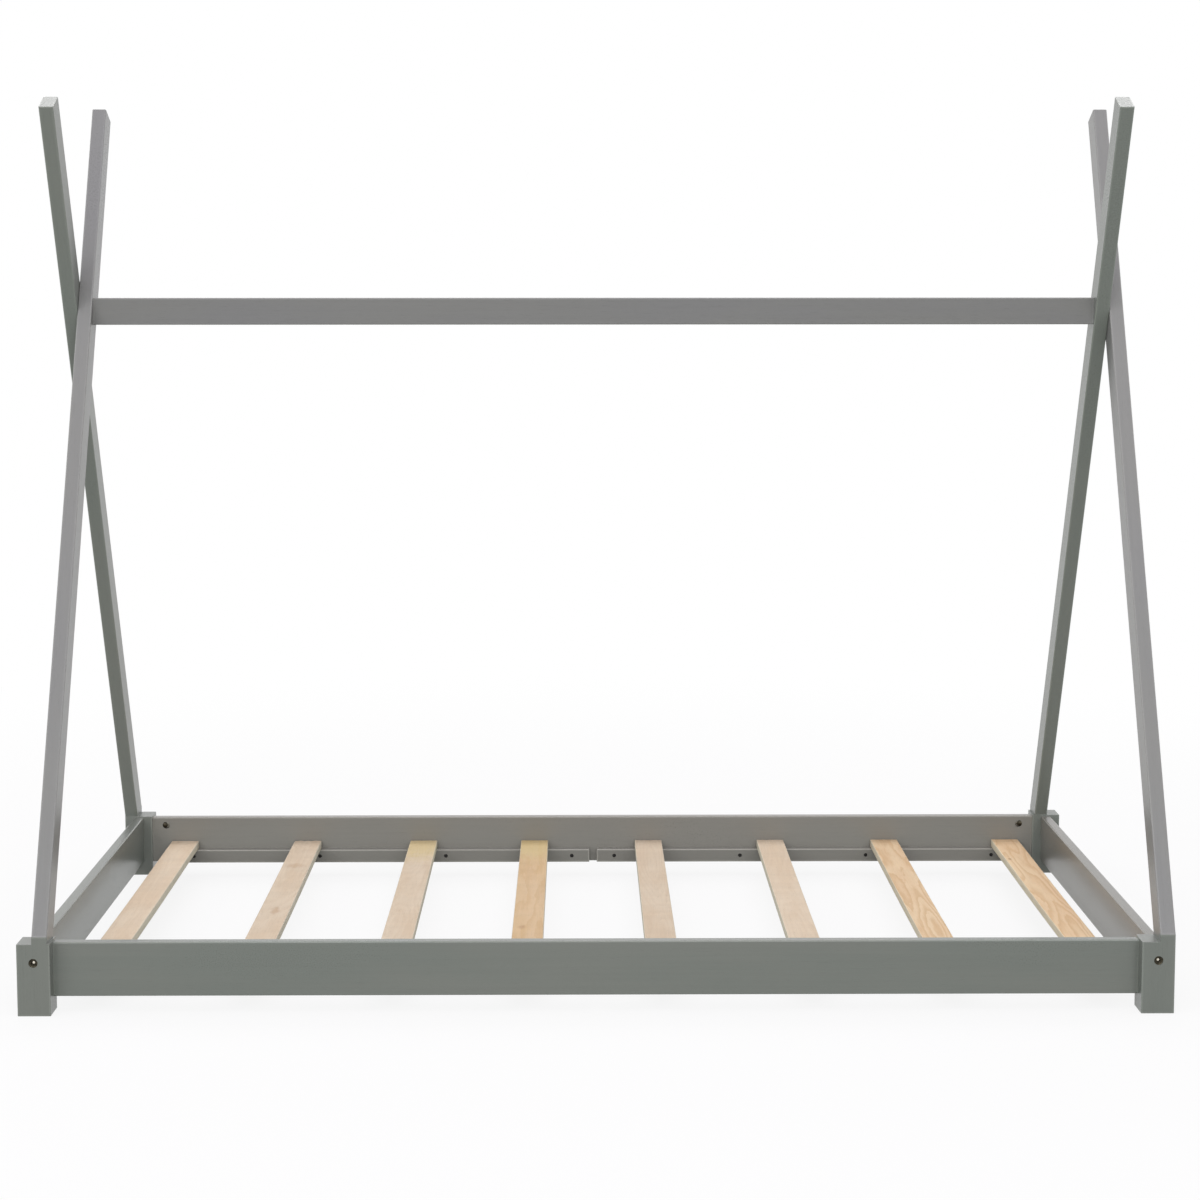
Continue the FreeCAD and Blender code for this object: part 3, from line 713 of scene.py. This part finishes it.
@dataclass
class SocketBolt(Fastener):
    """Cheese-head bolt with a hexagon socket; its head's underside is at the origin."""

    head_radius: float = 0.005
    head_height: float = 0.006
    shank_radius: float = 0.003
    length: float = 0.060
    socket_across: float = 0.005
    socket_depth: float = 0.0032
    socket_overrun: float = 0.002
    sides: int = 48
    knurl_inset: float = 0.00012
    knurl_depth: float = 0.00014
    tip_ease: float = 0.0007
    rim_ease: float = 0.0008
    rim_share: float = 0.9
    glint_inset: float = 0.0011

    def build(self) -> bpy.types.Object:
        """Models the head with its knurl, rim and socket, and the shank."""
        face = -self.head_height
        bolt = new_rod("bolt", self.sides, self.head_radius, face, 0)
        with editing(bolt, faces=lambda centre, normal: abs(normal.z) < FACING):
            bpy.ops.mesh.inset(thickness=self.knurl_inset, depth=-self.knurl_depth, use_individual=True)
        with editing(bolt, faces=lambda centre, normal: normal.z > FACING):
            bpy.ops.mesh.inset(thickness=self.head_radius - self.shank_radius)
            bpy.ops.mesh.extrude_region_move(TRANSFORM_OT_translate={"value": (0, 0, self.length)})
            bpy.ops.mesh.bevel(offset=self.tip_ease, segments=1, affect="EDGES")
        rim = self.head_radius * self.rim_share
        with editing(bolt, edges=lambda one, two: max(one.z, two.z) < face + SAME_LEVEL
                     and min(one.xy.length, two.xy.length) > rim):
            bpy.ops.mesh.bevel(offset=self.rim_ease, segments=4, affect="EDGES")
        floor = face + self.socket_depth
        corner = self.socket_across / 2 / math.cos(math.pi / HEX_SIDES)
        cut(bolt, new_rod("socket", HEX_SIDES, corner, face - self.socket_overrun, floor))
        with editing(bolt, faces=lambda centre, normal: abs(centre.z - floor) < SAME_LEVEL
                     and normal.z < -FACING):
            bpy.ops.mesh.inset(thickness=self.glint_inset)
        # The small face in the middle of the socket's floor takes the second material, a painted glint.
        for part in bolt.data.polygons:
            on_floor = abs(part.center.z - floor) < SAME_LEVEL
            part.material_index = int(on_floor and part.center.xy.length < SAME_PLACE)
        return bolt

    def place(self, box: Box) -> Matrix:
        """Head outwards, along the box's longest side."""
        low, high = box
        size = high - low
        axis = max(range(3), key=lambda index: size[index])
        middle = (low + high) / 2
        outward = Vector()
        outward[axis] = math.copysign(1, middle[axis])
        face = middle + outward * size[axis] / 2
        turn = Z_AXIS.rotation_difference(-outward).to_matrix().to_4x4()
        return Matrix.Translation(face - outward * self.head_height) @ turn


@dataclass
class BarrelNut(Fastener):
    """Barrel nut with a turning slot across each end, centred on the origin."""

    axis: Vector
    bore: Vector
    radius: float = 0.005
    length: float = 0.010
    bore_radius: float = 0.0032
    sides: int = 48
    bore_sides: int = 32
    ease: float = 0.0005
    slot_width: float = 0.0014
    slot_depth: float = 0.0014
    slot_overrun: float = 0.001

    def build(self) -> bpy.types.Object:
        """Models the drum, its slots and its cross bore."""
        half = self.length / 2
        nut = new_rod("nut", self.sides, self.radius, -half, half)
        with editing(nut, edges=lambda one, two: one.z * two.z > 0):
            bpy.ops.mesh.bevel(offset=self.ease, segments=2, affect="EDGES")
        reach = 2 * self.radius
        for side in (-1, 1):
            floor = side * (half - self.slot_depth)
            mouth = side * (half + self.slot_overrun)
            slot = new_block("slot", Vector((-reach, -self.slot_width / 2, min(floor, mouth))),
                             Vector((reach, self.slot_width / 2, max(floor, mouth))))
            cut(nut, slot)
        bore = new_rod("bore", self.bore_sides, self.bore_radius, -reach, reach)
        bore.rotation_euler.y = math.pi / 2
        settle(bore)
        cut(nut, bore)
        return nut

    def place(self, box: Box) -> Matrix:
        """Drum and bore along their own directions, at the box's middle."""
        axes = (self.bore, self.axis.cross(self.bore), self.axis)
        return Matrix.Translation((box[0] + box[1]) / 2) @ Matrix(axes).transposed().to_4x4()


@dataclass
class CleatScrew(Fastener):
    """Pan-head wood screw with a cross recess; its head's underside is at the origin."""

    head_radius: float = 0.0026
    head_height: float = 0.0022
    shank_radius: float = 0.00175
    shank: float = 0.020
    tip: float = 0.004
    recess_length: float = 0.0032
    recess_width: float = 0.0008
    recess_depth: float = 0.0012
    recess_overrun: float = 0.001
    sides: int = 32
    tip_share: float = 0.17
    rim_share: float = 0.9
    rim_ease: float = 0.0008

    def build(self) -> bpy.types.Object:
        """Models the domed head with its recess, the shank and the tapered tip."""
        face = -self.head_height
        screw = new_rod("screw", self.sides, self.head_radius, face, 0)
        with editing(screw, faces=lambda centre, normal: normal.z > FACING):
            bpy.ops.mesh.inset(thickness=self.head_radius - self.shank_radius)
            bpy.ops.mesh.extrude_region_move(TRANSFORM_OT_translate={"value": (0, 0, self.shank)})
            bpy.ops.mesh.extrude_region_move(TRANSFORM_OT_translate={"value": (0, 0, self.tip)})
            bpy.ops.transform.resize(value=(self.tip_share, self.tip_share, 1))
        rim = self.head_radius * self.rim_share
        with editing(screw, edges=lambda one, two: max(one.z, two.z) < face + SAME_LEVEL
                     and min(one.xy.length, two.xy.length) > rim):
            bpy.ops.mesh.bevel(offset=self.rim_ease, segments=5, affect="EDGES")
        floor = face + self.recess_depth
        mouth = face - self.recess_overrun
        for long, wide in ((self.recess_length, self.recess_width), (self.recess_width, self.recess_length)):
            corner = Vector((long / 2, wide / 2, 0))
            cut(screw, new_block("recess", Vector((0, 0, mouth)) - corner, Vector((0, 0, floor)) + corner))
        return screw

    def place(self, box: Box) -> Matrix:
        """Head towards the middle of the bed, along Y."""
        low, high = box
        middle = (low + high) / 2
        inward = Vector((0, -math.copysign(1, middle.y), 0))
        face = middle + inward * (high.y - low.y) / 2
        turn = Z_AXIS.rotation_difference(-inward).to_matrix().to_4x4()
        return Matrix.Translation(face - inward * self.head_height) @ turn


@dataclass
class Hardware:
    """Bolts, barrel nuts, screws and dowels."""

    # Painted shade: the bolt heads' steel is dark, standing in for the shade in the counterbores and the
    # dark surroundings that the heads reflect.
    bolt_steel: PlainSteel = PlainSteel(shade(66, 62, 52), shade(40, 38, 32), 0.34)
    # Painted glint: light, shiny steel for the small face in the middle of each socket's floor, standing in
    # for the light caught there.
    socket_glint_steel: PlainSteel = PlainSteel(shade(240, 234, 220), shade(200, 194, 178), 0.22)
    nut_steel: PlainSteel = PlainSteel(shade(132, 130, 122), shade(100, 98, 92), 0.40)
    screw_steel: PlainSteel = PlainSteel(shade(58, 57, 56), shade(34, 34, 34), 0.42)
    dowel_wood: BareWood = BareWood(shade(214, 184, 146), shade(186, 148, 106), shade(204, 176, 140))

    def build(self) -> None:
        """Models the steel pieces in place and dresses the hidden dowels."""
        bolts = self.bolt_steel.material("bolt_steel")
        sockets = self.socket_glint_steel.material("bolt_socket_glint")
        for node in ("side_rail_bolts", "end_rail_bolts", "ridge_bolts"):
            SocketBolt().set_in(node, bolts, sockets)
        nuts = self.nut_steel.material("barrel_nut_steel")
        BarrelNut(Y_AXIS, X_AXIS).set_in("side_rail_barrel_nuts", nuts)
        BarrelNut(X_AXIS, Y_AXIS).set_in("end_rail_barrel_nuts", nuts)
        BarrelNut(Z_AXIS, X_AXIS).set_in("ridge_barrel_nuts", nuts)
        CleatScrew().set_in("cleat_screws", self.screw_steel.material("cleat_screw_steel"))
        dowels = (("side_rail_dowels", X_AXIS), ("end_rail_dowels", Y_AXIS),
                  ("ridge_dowels", X_AXIS), ("pole_foot_dowels", Z_AXIS))
        for seed, (node, along) in enumerate(dowels, start=FIRST_DOWEL_SEED):
            across = Y_AXIS if along != Y_AXIS else Z_AXIS
            lay = Lay.of_node(node, along, across, seed)
            dress(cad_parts[node], self.dowel_wood.material(f"{node}_wood", lay))
            log.info("%s dressed", node)


@dataclass
class PaintedFrame:
    """Posts, rails, cleats, poles and ridge rail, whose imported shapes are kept."""

    paint: GreyPaint = GreyPaint()
    # The cleats' edges carry a much stronger painted highlight, for the light on their top edge.
    cleat_paint: GreyPaint = GreyPaint(edge_highlight_tone=0.8)
    ridge_paint: GreyPaint = GreyPaint(roughness=0.60)
    lean: float = math.radians(28)
    # Grey and lightness of each piece's paint: partly a small difference from board to board, and partly
    # painted light and shade for how the light falls on each piece; the poles that face up are lighter and
    # more neutral than those that face down, and the back rail is lighter and warmer.
    coats_and_painted_light: tuple[tuple[str, PaintGrey, float], ...] = (
        ("back_rail", PaintGrey.WARM, 1.19), ("back_left_cleat", PaintGrey.WARM, 1.04),
        ("back_right_cleat", PaintGrey.WARM, 1.04), ("left_end_rail", PaintGrey.GREEN, 0.93),
        ("right_end_rail", PaintGrey.WARM, 1.0), ("left_inner_pole", PaintGrey.NEUTRAL, 1.13),
        ("right_outer_pole", PaintGrey.NEUTRAL, 1.21), ("right_inner_pole", PaintGrey.GREEN, 1.07),
        ("left_outer_pole", PaintGrey.GREEN, 1.04), ("ridge_rail", PaintGrey.NEUTRAL, 0.97))

    def lays(self) -> dict[str, tuple[Vector, Vector]]:
        """Direction of the grain and of the wide face, for each painted node."""
        to_back = Vector((0, math.sin(self.lean), math.cos(self.lean)))
        to_front = Vector((0, -math.sin(self.lean), math.cos(self.lean)))
        found = {f"{side}_{end}_post": (Z_AXIS, X_AXIS)
                 for side in ("front", "back") for end in ("left", "right")}
        for side in ("front", "back"):
            found[f"{side}_rail"] = (X_AXIS, Z_AXIS)
            for end in ("left", "right"):
                found[f"{side}_{end}_cleat"] = (X_AXIS, Z_AXIS)
        for end in ("left", "right"):
            found[f"{end}_end_rail"] = (Y_AXIS, Z_AXIS)
        found["ridge_rail"] = (X_AXIS, Z_AXIS)
        found["left_inner_pole"] = (to_back, X_AXIS.cross(to_back))
        found["right_outer_pole"] = (to_back, X_AXIS.cross(to_back))
        found["left_outer_pole"] = (to_front, X_AXIS.cross(to_front))
        found["right_inner_pole"] = (to_front, X_AXIS.cross(to_front))
        return found

    def paint_of(self, node: str) -> GreyPaint:
        """The paint of a node: the cleats' edges carry a stronger painted highlight, and the ridge rail is
        more matt.
        """
        if node.endswith("cleat"):
            return self.cleat_paint
        return self.ridge_paint if node == "ridge_rail" else self.paint

    def build(self) -> None:
        """Paints each node, with its own grain."""
        coats_and_painted_light = {node: coat_and_painted_light for node, *coat_and_painted_light in self.coats_and_painted_light}
        plain_coat_and_painted_light = (PaintGrey.GREEN, 1.0)
        for seed, (node, (along, across)) in enumerate(self.lays().items(), start=1):
            lay = Lay.of_node(node, along, across, seed)
            grey, coat_and_painted_light = coats_and_painted_light.get(node, plain_coat_and_painted_light)
            paint = self.paint_of(node).material(f"{node}_paint", lay, grey, coat_and_painted_light)
            dress(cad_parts[node], paint)
            log.info("%s painted", node)


class SlatLook(Enum):
    """The three kinds of board among the slats."""

    PALE = BareWood(early=shade(212, 195, 171), late=shade(196, 173, 148), blush=shade(205, 185, 159),
                    line_share=0.12, figure_tone=0.16)
    HONEY = BareWood(early=shade(211, 183, 145), late=shade(193, 156, 112), blush=shade(205, 175, 133),
                     line_share=0.30, line_count=9)
    GOLDEN = BareWood(early=shade(214, 189, 153), late=shade(187, 150, 107), blush=shade(207, 178, 141),
                      line_share=0.50, figure_tone=0.06)


@dataclass
class Slat:
    """One bare slat, sagging a little and sawn a little roughly."""

    number: int
    look: SlatLook
    tone: float = 1.0
    marks: tuple[Mark, ...] = ()
    rough: float = 0.0003
    sag: float = 0.0009
    ease: float = 0.0011
    corner_angle: float = math.radians(50)
    bearing: float = 0.02
    long_edge: float = 0.1
    wide_edge: float = 0.03
    cuts_along: int = 23
    cuts_across: int = 7

    def build(self) -> None:
        """Models the slat over its node and dresses it."""
        node = f"slat_{self.number}"
        low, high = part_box(node)
        piece = new_block(f"bare_{node}", low, high)
        self.divide(piece)
        self.shape(piece, high.y)
        apply_modifier(piece, "BEVEL", width=self.ease, segments=3, limit_method="ANGLE",
                       angle_limit=self.corner_angle)
        smooth(piece)
        lay = Lay.of_node(node, Y_AXIS, X_AXIS, FIRST_SLAT_SEED + self.number)
        wood = replace(self.look.value, tone=self.tone, marks=self.marks)
        dress(piece, wood.material(f"{node}_wood", lay))
        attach(piece, BODY)
        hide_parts(node)
        log.info("%s, %s", piece.name, self.look.name.lower())

    def divide(self, piece: bpy.types.Object) -> None:
        """Cuts the block across and along, so that it can be shaped."""
        with editing(piece, edges=lambda one, two: abs(one.y - two.y) > self.long_edge):
            bpy.ops.mesh.subdivide(number_cuts=self.cuts_along)
        with editing(piece, edges=lambda one, two: abs(one.x - two.x) > self.wide_edge):
            bpy.ops.mesh.subdivide(number_cuts=self.cuts_across)

    def shape(self, piece: bpy.types.Object, reach: float) -> None:
        """Lets the span sag between the cleats and roughens the sawn ends.

        Args:
            piece: The divided block.
            reach: Distance of the slat's ends from its middle.
        """
        with editing(piece, edges=lambda one, two: max(abs(one.y), abs(two.y)) < SAME_PLACE):
            bpy.ops.transform.translate(value=(0, 0, -self.sag), use_proportional_edit=True,
                                        proportional_edit_falloff="SMOOTH",
                                        proportional_size=reach - self.bearing)
        with editing(piece, edges=lambda one, two: min(abs(one.y), abs(two.y)) > reach - SAME_PLACE
                     and abs(one.z - two.z) > SAME_PLACE):
            bpy.ops.transform.vertex_random(offset=self.rough, uniform=0, normal=0, seed=self.number)


@dataclass
class SlatDeck:
    """The eight slats."""

    straw: Colour = shade(206, 186, 134)
    umber: Colour = shade(150, 112, 76)
    rust: Colour = shade(176, 140, 104)

    def slats(self) -> tuple[Slat, ...]:
        """Each slat with its kind of board, tone and marks; one has a rougher saw cut."""
        pale, honey, golden = SlatLook.PALE, SlatLook.HONEY, SlatLook.GOLDEN
        smudges = (Mark(-0.074, 0.001, 0.030, 0.008, self.rust, 0.55),
                   Mark(0.205, -0.002, 0.022, 0.017, self.rust, 0.40))
        straw_end = Mark(0.340, 0.0, 0.130, 0.060, self.straw, 0.75)
        smudge = Mark(-0.173, -0.008, 0.016, 0.007, self.rust, 0.6)
        pin_knot = Mark(0.239, -0.014, 0.007, 0.0035, self.umber, 0.8)
        return (Slat(1, pale, 1.03), Slat(2, pale, 0.94, smudges, 0.0009), Slat(3, pale, 0.94, (straw_end,)),
                Slat(4, honey, 0.92, (straw_end, smudge)), Slat(5, pale, 0.91), Slat(6, pale, 0.98),
                Slat(7, golden, 1.03), Slat(8, golden, 1.10, (pin_knot,)))

    def build(self) -> None:
        """Models each slat."""
        for slat in self.slats():
            slat.build()


@dataclass
class Lamp:
    """A soft rectangular lamp."""

    name: str
    place: tuple[float, float, float]
    width: float
    height: float
    power: float
    colour: Colour = (1, 1, 1)

    def build(self, aim: Vector) -> None:
        """Hangs the lamp so that it looks at a point."""
        light = bpy.data.lights.new(self.name, "AREA")
        light.shape = "RECTANGLE"
        light.size = self.width
        light.size_y = self.height
        light.energy = self.power
        light.color = self.colour
        lamp = bpy.data.objects.new(self.name, light)
        lamp.location = self.place
        lamp.rotation_euler = (aim - lamp.location).to_track_quat("-Z", "Y").to_euler()
        lamp.visible_camera = False
        bpy.context.scene.collection.objects.link(lamp)


@dataclass
class Studio:
    """White floor, soft lamps and a white surround."""

    floor_side: float = 60.0
    floor_level: float = -0.0003
    floor_bounce: Colour = (0.30, 0.33, 0.30)
    floor_pale: Colour = (0.80, 0.80, 0.80)
    floor_glow: float = 0.86
    glow_near: float = 0.9
    glow_far: float = 2.6
    ambient: float = 0.38
    sky_tint: Colour = (1, 0.98, 1)
    overhead_tint: Colour = (1, 0.93, 1.06)
    aim_height: float = 0.5

    def build(self) -> None:
        """Makes the floor, the surround and the lamps."""
        self.build_floor()
        self.build_surround()
        tint = self.overhead_tint
        lamps = (
            Lamp("overhead_front", (0, -1.7, 4.5), width=6.3, height=3.6, power=62, colour=tint),
            Lamp("overhead_back", (0, 1.2, 4.5), width=6.3, height=3.6, power=20, colour=tint),
            Lamp("front", (0, -6.0, 2.6), width=6.0, height=3.0, power=190),
            Lamp("front_left", (-3.3, -3.4, 2.6), width=2.0, height=2.0, power=40),
            Lamp("front_right", (3.3, -3.4, 2.6), width=2.0, height=2.0, power=6),
            Lamp("back", (0, 4.0, 4.0), width=5.0, height=2.5, power=84),
            Lamp("left_side", (-5.0, 0.6, 2.8), width=3.0, height=2.0, power=34),
            Lamp("right_side", (5.0, 0.6, 2.8), width=3.0, height=2.0, power=30))
        for lamp in lamps:
            lamp.build(Vector((0, 0, self.aim_height)))

    @staticmethod
    def seen(sheet: NodeSheet) -> Wire:
        """1 for rays from the camera, a mirror or glass, and 0 for rays that only light."""
        camera = sheet.add("ShaderNodeLightPath", output="Is Camera Ray")
        return camera.most(camera.other("Is Glossy Ray")).most(camera.other("Is Transmission Ray"))

    def build_floor(self) -> None:
        """Lays the floor, which shows white with the bed's soft shadow."""
        bpy.ops.object.select_all(action="DESELECT")
        bpy.ops.mesh.primitive_plane_add(size=self.floor_side, location=(0, 0, self.floor_level))
        floor = bpy.context.object
        floor.name = "studio_floor"
        made = bpy.data.materials.new("studio_floor_white")
        sheet = NodeSheet(made)
        bounce = sheet.add("ShaderNodeBsdfDiffuse", {}, {"Color": (*self.floor_bounce, 1)})
        pale = sheet.add("ShaderNodeBsdfDiffuse", {}, {"Color": (*self.floor_pale, 1)})
        glow = sheet.add("ShaderNodeEmission", {}, {"Color": (1, 1, 1, 1), "Strength": 1.0})
        place = sheet.add("ShaderNodeTexCoord", output="Object")
        reach = sheet.add("ShaderNodeVectorMath", {"operation": "LENGTH"}, {"Vector": place}, "Value")
        outer = reach.rise(self.glow_near, self.glow_far)
        lit = self.floor_glow + (1 - self.floor_glow) * outer
        shown = sheet.add("ShaderNodeMixShader", {}, {0: lit, 1: pale, 2: glow})
        mixed = sheet.add("ShaderNodeMixShader", {}, {0: self.seen(sheet), 1: bounce, 2: shown})
        sheet.add("ShaderNodeOutputMaterial", {}, {"Surface": mixed})
        dress(floor, made)

    def build_surround(self) -> None:
        """Makes the surround white to look at and even as a light."""
        world = bpy.data.worlds.new("studio_surround")
        bpy.context.scene.world = world
        sheet = NodeSheet(world)
        even = sheet.add("ShaderNodeBackground", {},
                         {"Color": (*self.sky_tint, 1), "Strength": self.ambient})
        white = sheet.add("ShaderNodeBackground", {}, {"Color": (1, 1, 1, 1), "Strength": 1.0})
        mixed = sheet.add("ShaderNodeMixShader", {}, {0: self.seen(sheet), 1: even, 2: white})
        sheet.add("ShaderNodeOutputWorld", {}, {"Surface": mixed})


@dataclass
class PhotoCamera:
    """Camera at the photograph's viewing angle."""

    place: Vector
    yaw: float
    pitch: float
    roll: float
    focal_pixels: float
    image_pixels: float = 1200
    sensor: float = 36.0
    clip_end: float = 200

    def build(self) -> None:
        """Sets up the camera and makes it the scene's."""
        ahead = Vector((math.sin(self.yaw) * math.cos(self.pitch),
                        math.cos(self.yaw) * math.cos(self.pitch), -math.sin(self.pitch)))
        level = Vector((math.cos(self.yaw), -math.sin(self.yaw), 0))
        right = level * math.cos(self.roll) + level.cross(ahead) * math.sin(self.roll)
        turn = Matrix((right, right.cross(ahead), -ahead)).transposed()
        lens = bpy.data.cameras.new("photo_camera")
        lens.sensor_width = self.sensor
        lens.lens = self.focal_pixels / self.image_pixels * self.sensor
        lens.clip_end = self.clip_end
        camera = bpy.data.objects.new("photo_camera", lens)
        camera.matrix_world = Matrix.Translation(self.place) @ turn.to_4x4()
        bpy.context.scene.collection.objects.link(camera)
        bpy.context.scene.camera = camera


def main() -> None:
    """Builds the camera, the studio and the bed's sub-assemblies in order."""
    logging.basicConfig(level=logging.INFO, format="%(name)s: %(message)s")
    bpy.context.scene.view_settings.view_transform = "Standard"
    PhotoCamera(place=Vector((-0.0229, -3.6021, 0.8677)), yaw=math.radians(0.4835),
                pitch=math.radians(6.548), roll=math.radians(-0.025), focal_pixels=2716.2).build()
    Studio().build()
    PaintedFrame().build()
    SlatDeck().build()
    Hardware().build()


if __name__ == "__main__":
    main()
